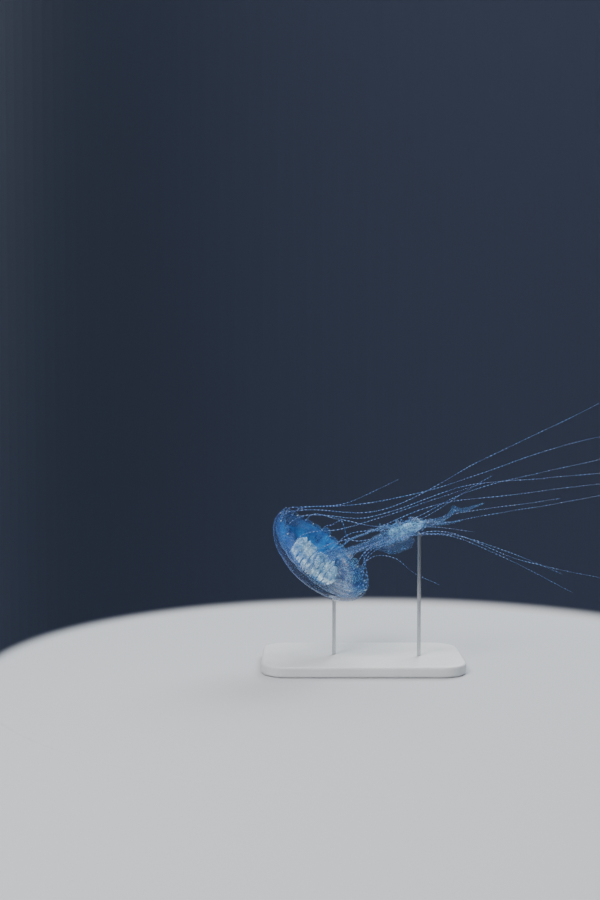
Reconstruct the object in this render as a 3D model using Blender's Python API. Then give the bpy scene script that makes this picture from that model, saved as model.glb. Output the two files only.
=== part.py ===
"""A small sea nettle, life size, swimming on a two-rod display stand.

Metres, +Z up. The origin is the middle of the stand's underside. The bell's mouth faces
up and to +X, and the oral arms and tentacles stream away along +X.
"""

import math

import bmesh
import bpy
import numpy as np
from mathutils import Matrix, Vector

MM = 0.001
GAP = 0.3 * MM  # between pieces that touch

# Where the bell sits over the stand, and how it leans.
BELL_CENTRE = Vector((-34.0, 0.0, 96.0)) * MM
DIVE_ANGLE = math.radians(48.0)  # how far the crown points below the horizon
AWAY_ANGLE = math.radians(11.0)  # how far the crown turns away from the front

# Bell, in its own frame: the widest ring lies at height 0 and the crown is at +Z.
BELL_RADIUS = 50.0 * MM
BELL_HEIGHT = 27.0 * MM
HOLLOW_RADIUS = 47.6 * MM
HOLLOW_HEIGHT = 18.5 * MM
HOLLOW_SQUARENESS = 2.4
DOME_SIDES = 48
MARGIN_ANGLE = math.radians(78.0)  # from the crown down to the cut above the margin
LAPPETS = 32
STEPS_PER_LAPPET = 4
LAPPET_LENGTH = 5.6 * MM
FAR_TUCK = 0.45  # share of their length by which the far lappets are drawn in
LONG_LAPPET = 23  # one on the far side that is longer than its neighbours
LONG_LAPPET_EXTRA = 2.4 * MM
CLEFT_LENGTH = 1.4 * MM
LAPPET_THICKNESS = 0.9 * MM
MARGIN_THICKNESS = 2.0 * MM

# Gonads and mouth tube under the crown.
GONADS = 4
GONAD_RING = 18.0 * MM
GONAD_LENGTH = 8.6 * MM  # half, along the bell's radius
GONAD_WIDTH = 11.4 * MM  # half, across it
GONAD_DEPTH = 13.0 * MM
GONAD_NOTCH = 0.34
MANUBRIUM_RADII = (9.3 * MM, 7.4 * MM, 6.0 * MM, 5.3 * MM)
MANUBRIUM_SIDES = 16

# The line that the four oral arms follow together, as offsets from the bell's centre.
BUNDLE_LINE = (
    Vector((-2.0, 1.0, -5.0)) * MM,
    Vector((24.0, -3.0, 1.0)) * MM,
    Vector((77.0, -8.0, 22.0)) * MM,
    Vector((137.0, -6.0, 43.0)) * MM,
)
# Each oral arm: its bearing round that line in degrees (0 faces the front, 90 is up),
# and how much of the line it covers.
ORAL_ARMS = {"upper": (90, 1.0), "front": (0, 0.70), "lower": (270, 0.635), "back": (180, 0.88)}
ARM_LENGTHS = 3
ARM_STATIONS = 13
ARM_SPREAD = 3.4 * MM  # of a ribbon from the bundle's line, along the shaft
ARM_HALF_WIDTH = 2.4 * MM
FRILL_SPREAD = 6.4 * MM
FRILL_HALF_WIDTH = 5.0 * MM
FRILL_START, FRILL_FULL, FRILL_FADE, FRILL_END = 0.36, 0.50, 0.64, 0.76
FRILL_WAVE = 7.5 * MM
UPPER_LIFT = 5.0 * MM  # of the upper arm over the others, between the mouth and the frill
TAIL_DIP = 1.2 * MM  # of its tail, just past the frill
FLARE_RISE = 3.8 * MM  # of the small flare on its tail
KEEL_THICKNESS = 1.8 * MM
FRILL_THICKNESS = 0.9 * MM

# Tentacles hang inside every second cleft. Each row gives the depth that the tentacle drifts
# to, then the (along, up) places that it passes, the tip last, as millimetres from the
# bell's centre.
TENTACLES = (
    (-26, ((37, -4), (58, 13), (84, 23))),
    (-35, ((36, 2), (72, 19), (97, 20), (150, 6), (197, -13))),
    (-40, ((36, 7), (80, 26), (124, 22))),
    (-47, ((47, 16), (87, 32), (193, 50))),
    (-45, ((30, 20), (102, 47), (144, 52), (243, 64))),
    (-38, ((14, 24), (80, 45), (132, 62))),
    (-30, ((38, 33), (118, 59), (188, 66), (262, 72))),
    (-16, ((-19, 37), (40, 36), (132, 79), (277, 150))),
    (10, ((-19, 38), (16, 39), (78, 49), (204, 90), (281, 108))),
    (24, ((-15, 36), (16, 39), (67, 61))),
    (32, ((15, 25), (50, 19), (130, 50), (272, 84))),
    (38, ((9, 19), (17, 23), (23, 9), (70, 18), (151, 64))),
    (50, ((70, 14), (147, 27), (251, 45))),
    (42, ((70, 8), (105, 11), (158, -8), (223, -41))),
    (28, ((37, -6), (69, 9), (93, 15), (174, -10), (254, -28))),
    (18, ((34, -14), (45, -5), (63, -7), (80, -20), (102, -30))),
)
TENTACLE_ROOT_RADIUS = 0.62 * MM
TENTACLE_TIP_RADIUS = 0.32 * MM
TENTACLE_STEPS = 9  # along each of the two lengths
ROOT_BUNCHING = 1.4  # above 1, the steps of the root length are closer near the bell
ROOT_STEM = 6.5 * MM  # straight out of the mouth, past the lappets
DRIFT_LENGTH = 70.0 * MM  # over which the depth settles
TENTACLE_SWAY = 2.2 * MM  # in depth
SWAY_LENGTH = 110.0 * MM

# Stand.
BASE_SIZE = Vector((170.0, 104.0, 9.0)) * MM
BASE_CORNER = 22.0 * MM
BASE_CORNER_STEPS = 9
BASE_EDGE = 1.8 * MM
BASE_EDGE_STEPS = 3
ROD_RADIUS = 1.6 * MM
ROD_SIDES = 16
BELL_PAD_RADIUS = 5.0 * MM
BELL_PAD_THICKNESS = 1.6 * MM
BELL_PAD_PLACE = (math.radians(42.0), math.radians(8.0))  # from the crown, and round it
ARM_REST_SHARE = 0.665  # of the bundle's line
ARM_REST_RADIUS = 1.1 * MM
ARM_REST_LENGTH = 19.0 * MM


def smooth(value, start, end):
    """0 before start, 1 after end, and an even S between them."""
    t = np.clip((value - start) / (end - start), 0.0, 1.0)
    return t * t * (3.0 - 2.0 * t)


def bell_matrix():
    """The bell's own frame in the world: x runs down its long slope, y to the front, z to the crown."""
    dive, away = DIVE_ANGLE, AWAY_ANGLE
    crown = Vector((-math.cos(dive) * math.cos(away), math.sin(away), -math.sin(dive) * math.cos(away)))
    slope = Vector((math.sin(dive), 0.0, -math.cos(dive)))
    front = crown.cross(slope)
    turned = Matrix((slope, front, crown)).transposed().to_4x4()
    return Matrix.Translation(BELL_CENTRE) @ turned


def wave_of_bell(radius, around):
    """How far the swimming stroke lifts the bell at a place: nothing at the crown, most at the rim."""
    stroke = 0.8 * MM * np.sin(2 * around + 0.7) + 0.5 * MM * np.sin(3 * around + 2.1)
    return stroke * (radius / BELL_RADIUS) ** 4


def hollow_height(radius):
    """Height of the hollow's roof at a radius, on a rounded-square arch."""
    share = np.clip(radius / HOLLOW_RADIUS, 0.0, 1.0)
    return HOLLOW_HEIGHT * (1 - share**HOLLOW_SQUARENESS) ** (1 / HOLLOW_SQUARENESS)


def hollow_radius(height):
    """Radius of the hollow at a height."""
    share = np.clip(height / HOLLOW_HEIGHT, 0.0, 1.0)
    return HOLLOW_RADIUS * (1 - share**HOLLOW_SQUARENESS) ** (1 / HOLLOW_SQUARENESS)


def polar(radius, around, height):
    """Points from radius, angle and height."""
    return np.stack(np.broadcast_arrays(radius * np.cos(around), radius * np.sin(around), height), axis=-1)


def material(name, colour, roughness, metallic=0.0):
    """A Principled material."""
    made = bpy.data.materials.new(name)
    made.use_nodes = True
    shader = made.node_tree.nodes["Principled BSDF"]
    shader.inputs["Base Color"].default_value = (*colour, 1.0)
    shader.inputs["Roughness"].default_value = roughness
    shader.inputs["Metallic"].default_value = metallic
    return made


def add_object(name, data, finish, parent=None):
    """Puts data in the scene under its name and finish."""
    made = bpy.data.objects.new(name, data)
    bpy.context.scene.collection.objects.link(made)
    data.materials.append(finish)
    made.parent = parent
    return made


def mesh_from(name, bm):
    """Closes a bmesh into a mesh whose faces point out."""
    bmesh.ops.remove_doubles(bm, verts=bm.verts, dist=0.001 * MM)
    bmesh.ops.recalc_face_normals(bm, faces=bm.faces)
    mesh = bpy.data.meshes.new(name)
    bm.to_mesh(mesh)
    bm.free()
    mesh.shade_smooth()
    mesh.set_sharp_from_angle(angle=math.radians(40))
    return mesh


def skin_rings(bm, rings, wrap=False):
    """Joins rings of points with quads, and the last ring to the first if wrap is set."""
    loops = [[bm.verts.new(point) for point in ring] for ring in rings]
    pairs = list(zip(loops, loops[1:]))
    if wrap:
        pairs.append((loops[-1], loops[0]))
    for near, far in pairs:
        for k in range(len(near)):
            after = (k + 1) % len(near)
            bm.faces.new((near[k], near[after], far[after], far[k]))
    return loops


def fan(bm, loop, centre):
    """Closes a loop of vertices with triangles to a centre point."""
    middle = bm.verts.new(centre)
    for k, vert in enumerate(loop):
        bm.faces.new((vert, loop[(k + 1) % len(loop)], middle))


def build_dome(parent, finish):
    """The bell's dome: an ellipse over a flatter arch, turned about the crown and cut above the margin."""
    cut = BELL_HEIGHT * math.cos(MARGIN_ANGLE)
    around = np.linspace(0, 2 * math.pi, DOME_SIDES, endpoint=False)
    steps = np.linspace(0, MARGIN_ANGLE, 7)[1:]
    outer = [(BELL_RADIUS * math.sin(a), BELL_HEIGHT * math.cos(a)) for a in steps]
    inner_radii = hollow_radius(cut) * np.array([1.0, 0.93, 0.80, 0.60, 0.32])
    inner = [(r, float(hollow_height(r))) for r in inner_radii]
    bm = bmesh.new()
    rings = [polar(r, around, z + wave_of_bell(r, around)) for r, z in outer + inner]
    loops = skin_rings(bm, rings)
    fan(bm, loops[0], (0, 0, BELL_HEIGHT))
    fan(bm, loops[-1], (0, 0, HOLLOW_HEIGHT))
    return add_object("bell_dome", mesh_from("bell_dome", bm), finish, parent)


def lappet_length(around):
    """Length of the margin below the widest ring: a half circle over each lappet, short at each cleft.

    The lappets are drawn in on the far side, but not towards the bell's low end.
    """
    turn = around * LAPPETS / (2 * math.pi)
    far = smooth(-np.sin(around), 0.25, 0.70) * (1 - smooth(np.cos(around), 0.2, 0.7))
    full = LAPPET_LENGTH * (1 - FAR_TUCK * far) - CLEFT_LENGTH
    full = full + LONG_LAPPET_EXTRA * (np.floor(turn) == LONG_LAPPET)
    across = turn % 1.0 * 2 - 1
    return CLEFT_LENGTH + full * np.sqrt(np.clip(1 - across**2, 0, 1))


def build_margin(parent, finish):
    """The ring of lappets below the dome, one closed cross-section carried round the bell."""
    steps = LAPPETS * STEPS_PER_LAPPET
    around = np.linspace(0, 2 * math.pi, steps, endpoint=False)
    length = lappet_length(around)
    cut = BELL_HEIGHT * math.cos(MARGIN_ANGLE) - GAP
    cut_radius = BELL_RADIUS * math.sqrt(1 - (cut / BELL_HEIGHT) ** 2)
    inside = BELL_RADIUS - MARGIN_THICKNESS
    tip = BELL_RADIUS - 0.9 * MM
    profile = (
        (cut_radius, cut + 0 * length),
        (BELL_RADIUS, 0 * length),
        (BELL_RADIUS - 0.2 * MM, -0.5 * length),
        (tip, -length),
        (tip - LAPPET_THICKNESS, -length),
        (inside, -0.4 * length),
        (hollow_radius(cut), cut + 0 * length),
    )
    bm = bmesh.new()
    rings = [polar(r, around, z + wave_of_bell(r, around)) for r, z in profile]
    skin_rings(bm, rings, wrap=True)
    return add_object("bell_margin", mesh_from("bell_margin", bm), finish, parent)


def build_gonad(index, parent, finish):
    """One gonad: a kidney-shaped pad that hangs from the hollow's roof, its notch towards the mouth."""
    bearing = math.radians(45 + 90 * index)
    turn = np.linspace(0, 2 * math.pi, 12, endpoint=False)
    away = np.abs((turn + math.pi) % (2 * math.pi) - math.pi)
    outline = 1 - GONAD_NOTCH * np.exp(-(((math.pi - away) / 0.75) ** 2))

    def ring(share, drop):
        along = GONAD_RING + GONAD_LENGTH * share * outline * np.cos(turn)
        across = GONAD_WIDTH * share * outline * np.sin(turn)
        radius = np.hypot(along, across)
        height = hollow_height(radius) + wave_of_bell(radius, bearing) - 3 * GAP - drop
        return polar(radius, bearing + np.arctan2(across, along), height)

    bm = bmesh.new()
    sections = ((0.55, 0.0), (0.95, 0.0), (1.0, 0.35), (0.85, 0.7), (0.5, 0.93))
    loops = skin_rings(bm, [ring(share, drop * GONAD_DEPTH) for share, drop in sections])
    fan(bm, loops[0], ring(0.0, 0.0)[0])
    fan(bm, loops[-1], ring(0.0, GONAD_DEPTH)[0])
    name = f"gonad_{index + 1}"
    return add_object(name, mesh_from(name, bm), finish, parent)


def bezier(points, share):
    """A cubic curve through four control points, as an array over share."""
    share = np.asarray(share, float)[..., None]
    a, b, c, d = (np.array(p) for p in points)
    rest = 1 - share
    return a * rest**3 + 3 * b * share * rest**2 + 3 * c * share**2 * rest + d * share**3


def bundle_frame(share):
    """Place, heading, frontward and upward directions of the oral arms' shared line."""
    place = bezier(BUNDLE_LINE, share) + np.array(BELL_CENTRE)
    ahead = bezier(BUNDLE_LINE, share + 0.001) - bezier(BUNDLE_LINE, share - 0.001)
    ahead /= np.linalg.norm(ahead, axis=-1, keepdims=True)
    up = np.array((0.0, 0.0, 1.0)) - ahead * ahead[..., 2:3]
    up /= np.linalg.norm(up, axis=-1, keepdims=True)
    return place, ahead, np.cross(ahead, up), up


def build_manubrium(finish):
    """The mouth tube: four-cornered rings from the hollow's roof to where the arms begin."""
    turn = np.linspace(0, 2 * math.pi, MANUBRIUM_SIDES, endpoint=False)
    lobed = 1 + 0.09 * np.cos(4 * turn)
    roof = MANUBRIUM_RADII[0] * lobed
    ceiling = polar(roof, turn, hollow_height(roof) - 3 * GAP)
    to_world = bell_matrix()
    rings = [[to_world @ Vector(p) for p in ceiling]]
    start = to_world @ Vector((0, 0, HOLLOW_HEIGHT - 3 * GAP))
    place, ahead, front, up = bundle_frame(np.array(0.0))
    inward = (to_world.to_3x3() @ Vector((0, 0, -1))).normalized()
    side = to_world.to_3x3() @ Vector((1, 0, 0))
    for share, radius in zip((0.35, 0.70, 1.0), MANUBRIUM_RADII[1:]):
        middle = start.lerp(Vector(place), share)
        heading = inward.lerp(Vector(ahead), share**2).normalized()
        across = (side - heading * side.dot(heading)).normalized()
        other = heading.cross(across)
        sizes = radius * (1 + 0.09 * np.cos(4 * turn))
        spokes = [across * math.cos(a) - other * math.sin(a) for a in turn]
        rings.append([middle + spoke * size for spoke, size in zip(spokes, sizes)])
    bm = bmesh.new()
    loops = skin_rings(bm, rings)
    fan(bm, loops[0], start)
    fan(bm, loops[-1], Vector(place))
    return add_object("manubrium", mesh_from("manubrium", bm), finish)


def arm_layout(name, share):
    """Place of an arm's ribbon, its width and outward directions and half width, over the bundle's share."""
    bearing, end = ORAL_ARMS[name]
    place, ahead, front, up = bundle_frame(share)
    angle = math.radians(bearing)
    outward = front * math.cos(angle) + up * math.sin(angle)
    across = -front * math.sin(angle) + up * math.cos(angle)
    frill = smooth(share, FRILL_START, FRILL_FULL) - smooth(share, FRILL_FADE, FRILL_END)
    spread = ARM_SPREAD + (FRILL_SPREAD - ARM_SPREAD) * frill
    half = ARM_HALF_WIDTH + (FRILL_HALF_WIDTH - ARM_HALF_WIDTH) * frill
    turn = 0 * share
    shift = 0 * share
    if name == "upper":
        spread = spread + UPPER_LIFT * (smooth(share, 0.16, 0.32) - smooth(share, 0.38, 0.56))
        spread = spread * (1 - smooth(share, FRILL_FADE, 0.78))
        flare = np.exp(-(((share - 0.862) / 0.022) ** 2))
        dip = np.exp(-(((share - 0.78) / 0.035) ** 2))
        shift = FLARE_RISE * flare - TAIL_DIP * dip
        turn = math.radians(75) * smooth(share, 0.70, 0.80)
        half = half * (1 - 0.45 * smooth(share, 0.70, 0.80))
    if name == "lower":
        turn = math.radians(82) * smooth(share, 0.36, 0.46)
        spread = spread + 3.0 * MM * smooth(share, 0.38, 0.50)
    if name == "back":
        shift = -7.5 * MM * smooth(share, 0.66, end)
        spread = spread * (1 - 0.8 * smooth(share, FRILL_FADE, end))
        half = half * (1 - 0.35 * smooth(share, 0.68, 0.76))
    half = half * (0.25 + 0.75 * smooth(end - share, 0.0, 0.035 if name == "lower" else 0.10))
    centre = place + outward * spread[..., None] + up * shift[..., None]
    wide = across * np.cos(turn)[..., None] + outward * np.sin(turn)[..., None]
    out = outward * np.cos(turn)[..., None] - across * np.sin(turn)[..., None]
    return centre, wide, out, half


def build_arm_length(name, index, finish):
    """One length of an oral arm: a keel with a ruffled edge on each side, six points to a ring."""
    end = ORAL_ARMS[name][1]
    line_length = float(np.linalg.norm(np.array(BUNDLE_LINE[3] - BUNDLE_LINE[0])))
    half_gap = 0.6 * GAP / line_length
    first, last = (0.004 + (end - 0.004) * (index + k) / ARM_LENGTHS for k in (0, 1))
    share = np.linspace(first + half_gap, last - half_gap, ARM_STATIONS)
    centre, wide, out, half = arm_layout(name, share)
    travelled = share * line_length
    ruffle = 0.5 * half * (0.5 + 0.5 * np.sin(2 * math.pi * travelled / FRILL_WAVE))
    other_ruffle = 0.5 * half * (0.5 + 0.5 * np.cos(2 * math.pi * travelled / FRILL_WAVE))
    keel = KEEL_THICKNESS * np.clip(half / ARM_HALF_WIDTH, 0.45, 1.0)
    corners = (
        (-half, ruffle),
        (0 * half, keel - 0.5 * MM),
        (half, other_ruffle),
        (half, other_ruffle - FRILL_THICKNESS),
        (0 * half, -0.5 * MM + 0 * keel),
        (-half, ruffle - FRILL_THICKNESS),
    )
    points = np.stack([centre + wide * w[:, None] + out * h[:, None] for w, h in corners], axis=1)
    bm = bmesh.new()
    loops = skin_rings(bm, points)
    bm.faces.new(loops[0])
    bm.faces.new(loops[-1])
    label = f"oral_arm_{name}_{index + 1}"
    return add_object(label, mesh_from(label, bm), finish)


def smooth_line(points, count=400):
    """A Catmull-Rom curve through points, as count places evenly spaced along it, with the length so far."""
    points = np.array(points)
    knots = np.concatenate([[0.0], np.cumsum(np.linalg.norm(np.diff(points, axis=0), axis=1))])
    slopes = np.gradient(points, knots, axis=0)
    at = np.linspace(0.0, knots[-1], count)
    piece = np.clip(np.searchsorted(knots, at, side="right") - 1, 0, len(knots) - 2)
    gap = (knots[piece + 1] - knots[piece])[:, None]
    t = (at[:, None] - knots[piece][:, None]) / gap
    start = (1 + 2 * t) * (1 - t) ** 2 * points[piece] + t * (1 - t) ** 2 * gap * slopes[piece]
    end = t**2 * (3 - 2 * t) * points[piece + 1] + t**2 * (t - 1) * gap * slopes[piece + 1]
    line = start + end
    travelled = np.concatenate([[0.0], np.cumsum(np.linalg.norm(np.diff(line, axis=0), axis=1))])
    even = np.linspace(0.0, travelled[-1], count)
    return np.stack([np.interp(even, travelled, line[:, k]) for k in range(points.shape[1])], axis=1), even


def tentacle_route(index):
    """The line of a tentacle, from inside its cleft to its tip, with the length so far."""
    around = 2 * math.pi * (index + 0.5) / len(TENTACLES)
    root_radius = BELL_RADIUS - MARGIN_THICKNESS - TENTACLE_ROOT_RADIUS - 2 * GAP
    height = -CLEFT_LENGTH / 2 + float(wave_of_bell(root_radius, around))
    to_world = bell_matrix()
    root = to_world @ Vector(polar(root_radius, around, height))
    stem = root + to_world.to_3x3() @ Vector((0, 0, -ROOT_STEM))
    depth, places = TENTACLES[index]
    passed = [(BELL_CENTRE.x + along * MM, BELL_CENTRE.z + up * MM) for along, up in places]
    flat, travelled = smooth_line([(root.x, root.z), (stem.x, stem.z), *passed])
    settled = smooth(travelled, 0.0, DRIFT_LENGTH)
    wave = 2 * math.pi * travelled / (SWAY_LENGTH * (1 + 0.25 * math.sin(1.9 * index)))
    sway = TENTACLE_SWAY * settled * (np.sin(wave + 2.4 * index) + 0.4 * np.sin(2.3 * wave + index))
    across = root.y + (depth * MM - root.y) * settled + sway
    return np.stack([flat[:, 0], across, flat[:, 1]], axis=1), travelled


def build_tentacle(index, finish):
    """A tentacle as two tapering tubes, end to end."""
    line, travelled = tentacle_route(index)
    total = travelled[-1]
    middle = 0.48 * total
    stretches = (("root", 0.0, middle - 0.6 * GAP, ROOT_BUNCHING), ("tip", middle + 0.6 * GAP, total, 1.0))
    for part, start, end, bunching in stretches:
        name = f"tentacle_{index + 1:02d}_{part}"
        at = start + (end - start) * np.linspace(0, 1, TENTACLE_STEPS + 1) ** bunching
        curve = bpy.data.curves.new(name, "CURVE")
        curve.dimensions = "3D"
        curve.bevel_depth = TENTACLE_ROOT_RADIUS
        curve.bevel_resolution = 1
        curve.use_fill_caps = True
        spline = curve.splines.new("POLY")
        spline.points.add(len(at) - 1)
        for point, distance in zip(spline.points, at):
            place = [np.interp(distance, travelled, line[:, axis]) for axis in range(3)]
            point.co = (*place, 1.0)
            thin = distance / total
            radius = TENTACLE_ROOT_RADIUS * (1 - thin) + TENTACLE_TIP_RADIUS * thin
            point.radius = radius / TENTACLE_ROOT_RADIUS
        add_object(name, curve, finish)


def cylinder(name, radius, bottom, top, sides=ROD_SIDES):
    """A plain cylinder between two points."""
    bm = bmesh.new()
    length = (top - bottom).length
    bmesh.ops.create_cone(bm, cap_ends=True, segments=sides, radius1=radius, radius2=radius, depth=length)
    turned = (top - bottom).to_track_quat("Z", "Y").to_matrix().to_4x4()
    bm.transform(Matrix.Translation((bottom + top) / 2) @ turned)
    return mesh_from(name, bm)


def build_rod(name, bottom, top, head, finish):
    """A rod whose head, a second cylinder, is joined to it."""
    rod = add_object(name, cylinder(name, ROD_RADIUS, bottom, top), finish)
    helper = add_object(name + "_head", head, finish)
    helper.hide_render = True
    helper.display_type = "WIRE"
    union = rod.modifiers.new("head", "BOOLEAN")
    union.operation = "UNION"
    union.solver = "EXACT"
    union.object = helper
    return rod


def build_bell_rod(finish):
    """The rod that carries the bell on a round pad set square to its surface."""
    down, around = BELL_PAD_PLACE
    place = Vector(
        (
            BELL_RADIUS * math.sin(down) * math.cos(around),
            BELL_RADIUS * math.sin(down) * math.sin(around),
            BELL_HEIGHT * math.cos(down),
        )
    )
    normal = Vector((place.x / BELL_RADIUS**2, place.y / BELL_RADIUS**2, place.z / BELL_HEIGHT**2))
    to_world = bell_matrix()
    outward = (to_world.to_3x3() @ normal).normalized()
    lift = Vector((0, 0, float(wave_of_bell(BELL_RADIUS * math.sin(down), around))))
    contact = to_world @ (place + lift)
    pad_top = contact + outward * GAP * 2
    pad_bottom = pad_top + outward * BELL_PAD_THICKNESS
    pad = cylinder("bell_pad", BELL_PAD_RADIUS, pad_bottom, pad_top)
    foot = Vector((pad_bottom.x, pad_bottom.y, BASE_SIZE.z + GAP))
    return build_rod("stand_rod_bell", foot, (pad_bottom + pad_top) / 2, pad, finish)


def build_arm_rod(finish):
    """The rod that carries the oral arms on a short cross bar."""
    place, ahead, front, up = bundle_frame(np.array(ARM_REST_SHARE))
    drop = FRILL_HALF_WIDTH + ARM_REST_RADIUS + 2 * GAP
    rest = Vector(place) - Vector(up) * drop
    half_bar = Vector((0, ARM_REST_LENGTH / 2, 0))
    bar = cylinder("arm_bar", ARM_REST_RADIUS, rest - half_bar, rest + half_bar)
    foot = Vector((rest.x, rest.y, BASE_SIZE.z + GAP))
    return build_rod("stand_rod_arms", foot, rest, bar, finish)


def build_base(finish):
    """The stand's flat base: a block with round corners and a small bevel all round."""
    bm = bmesh.new()
    bmesh.ops.create_cube(bm, size=1.0)
    bm.transform(Matrix.Translation((0, 0, BASE_SIZE.z / 2)) @ Matrix.Diagonal((*BASE_SIZE, 1.0)))
    upright = [e for e in bm.edges if abs(e.verts[0].co.z - e.verts[1].co.z) > BASE_SIZE.z / 2]
    corner = {"offset": BASE_CORNER, "segments": BASE_CORNER_STEPS, "profile": 0.5}
    bmesh.ops.bevel(bm, geom=upright, affect="EDGES", **corner)
    rims = [e for e in bm.edges if abs(e.verts[0].co.z - e.verts[1].co.z) < 1e-6]
    bmesh.ops.bevel(bm, geom=rims, offset=BASE_EDGE, segments=BASE_EDGE_STEPS, affect="EDGES", profile=0.5)
    return add_object("stand_base", mesh_from("stand_base", bm), finish)


def main():
    for leftover in list(bpy.data.objects):
        bpy.data.objects.remove(leftover)
    jelly = material("jelly", (0.16, 0.38, 0.62), 0.2)
    margin = material("margin_jelly", (0.20, 0.45, 0.70), 0.2)
    gonad = material("gonad", (0.85, 0.88, 0.78), 0.4)
    frill = material("frill", (0.42, 0.62, 0.78), 0.3)
    tentacle = material("tentacle", (0.30, 0.52, 0.72), 0.3)
    painted = material("stand_paint", (0.80, 0.80, 0.78), 0.5)
    steel = material("stand_steel", (0.62, 0.63, 0.64), 0.3, metallic=1.0)
    axis = bpy.data.objects.new("bell_axis", None)
    bpy.context.scene.collection.objects.link(axis)
    axis.matrix_world = bell_matrix()
    build_dome(axis, jelly)
    build_margin(axis, margin)
    for index in range(GONADS):
        build_gonad(index, axis, gonad)
    build_manubrium(frill)
    for name in ORAL_ARMS:
        for index in range(ARM_LENGTHS):
            build_arm_length(name, index, frill)
    for index in range(len(TENTACLES)):
        build_tentacle(index, tentacle)
    build_base(painted)
    build_bell_rod(steel)
    build_arm_rod(steel)


main()
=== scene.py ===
"""Looks of a small sea nettle, life size, on its rod stand: skins, finishes, studio and camera."""

import math

import bpy
import numpy as np
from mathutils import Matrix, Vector


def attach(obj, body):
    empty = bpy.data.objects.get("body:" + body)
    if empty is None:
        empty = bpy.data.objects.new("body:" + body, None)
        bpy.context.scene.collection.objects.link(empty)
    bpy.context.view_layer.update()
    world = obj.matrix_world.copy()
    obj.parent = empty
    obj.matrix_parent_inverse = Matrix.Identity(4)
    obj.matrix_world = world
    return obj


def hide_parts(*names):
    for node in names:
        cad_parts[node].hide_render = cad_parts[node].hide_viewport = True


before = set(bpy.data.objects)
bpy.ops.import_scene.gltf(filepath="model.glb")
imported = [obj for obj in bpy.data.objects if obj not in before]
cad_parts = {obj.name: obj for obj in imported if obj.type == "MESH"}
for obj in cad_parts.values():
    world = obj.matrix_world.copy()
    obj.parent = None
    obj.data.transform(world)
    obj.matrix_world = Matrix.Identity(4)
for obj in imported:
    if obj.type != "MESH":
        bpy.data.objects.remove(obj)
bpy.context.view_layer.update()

MM = 0.001
TURN = 2 * math.pi

# The bell, as the solids have it: its widest ring lies at height 0 and its crown is up the axis.
BELL_CENTRE = np.array((-34.0, 0.0, 96.0)) * MM
DIVE_ANGLE = math.radians(48.0)
AWAY_ANGLE = math.radians(11.0)
BELL_RADIUS = 50.0 * MM
BELL_HEIGHT = 27.0 * MM
HOLLOW_RADIUS = 47.6 * MM
HOLLOW_HEIGHT = 18.5 * MM
HOLLOW_SQUARENESS = 2.4
LAPPETS = 32
LAPPET_LENGTH = 5.6 * MM
CLEFT_LENGTH = 1.4 * MM
LAPPET_THICKNESS = 0.9 * MM
LAPPET_LEAN = 0.9 * MM  # of its tip towards the axis
FAR_TUCK = 0.45  # share of length by which the far lappets are drawn in
LONG_LAPPET = 23  # on the far side, longer than its neighbours
LONG_LAPPET_EXTRA = 2.4 * MM

# Bell skin.
BELL_COLUMNS = 512
FURROW_DEPTH = 0.7 * MM
RIBS = 16
RIB_HEIGHT = 0.55 * MM
RING_HEIGHT = 0.20 * MM
RING_PITCH = 3.0 * MM
LAPPET_CURL = 1.1 * MM
WARTS = 1200
WART_SPREAD = math.radians(86)  # from the crown down to the last warts
GOLDEN_ANGLE = math.pi * (3 - math.sqrt(5))

# Gonads and what hangs among them, a little below the hollow's roof.
ROOF_GAP = 0.9 * MM
GONADS = 4
GONAD_RING = 16.6 * MM
GONAD_LENGTH = 5.0 * MM
GONAD_WIDTH = 8.0 * MM
GONAD_DEPTH = 13.0 * MM
GONAD_HALF_THICK = 3.3 * MM
GONAD_ARC = 2.55  # radians to each side, of the horseshoe
WIDE_PLEATS, FINE_PLEATS = 11.0, 19.0  # radians of pleat for each radian of arc
PLEAT_SWING = 1.15 * MM
FILAMENTS = 190

# The oral arms' shared line, as offsets from the bell's centre, and each arm's bearing
# round it in degrees and the share of it that the arm covers.
BUNDLE_PLACES = ((-2.0, 1.0, -5.0), (24.0, -3.0, 1.0), (77.0, -8.0, 22.0), (137.0, -6.0, 43.0))
BUNDLE_LINE = np.array(BUNDLE_PLACES) * MM
ORAL_ARMS = {"upper": (90, 1.0), "front": (0, 0.70), "lower": (270, 0.635), "back": (180, 0.88)}
ARM_MILKINESS = {"upper": 0.6, "front": 1.0, "lower": 0.1, "back": 0.9}
ARM_RUFFLE = {"upper": 0.85, "front": 0.8, "lower": 0.4, "back": 0.8}
ARM_SPREAD = 3.4 * MM
ARM_HALF_WIDTH = 2.4 * MM
FRILL_SPREAD = 6.4 * MM
FRILL_HALF_WIDTH = 5.0 * MM
FRILL_START, FRILL_FULL, FRILL_FADE, FRILL_END = 0.36, 0.50, 0.64, 0.76
UPPER_LIFT = 5.0 * MM  # of the upper arm over the others, between the mouth and the frill
TAIL_TURN = math.radians(75)
TAIL_DIP, DIP_PLACE, DIP_REACH = 1.2 * MM, 0.78, 0.035
FLARE_RISE, FLARE_PLACE, FLARE_REACH = 3.8 * MM, 0.862, 0.022
LOBE_TURN = math.radians(82)  # of the lower arm, which makes the thin lobe below the frill
LOBE_SPREAD = 3.0 * MM
BACK_DROP = 7.5 * MM
CORE_RISE = 1.8 * MM  # of the frill's white core over the shared line
CORE_REACH = 4.0 * MM
ARM_WAVES_OVER = 150.0  # the arms' run in millimetres, which their waves are measured on
SLOW_WAVE, QUICK_WAVE, BEAT_WAVE, TINY_WAVE = 12.3, 4.9, 17.0, 1.7
KEEL_THICKNESS, EDGE_THICKNESS, KEEL_WIDTH = 0.85, 0.16, 0.28
ARM_STATIONS = 460
ARM_COLUMNS = 44
ARM_PHASE = 1.7
GRANULES = 950

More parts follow.
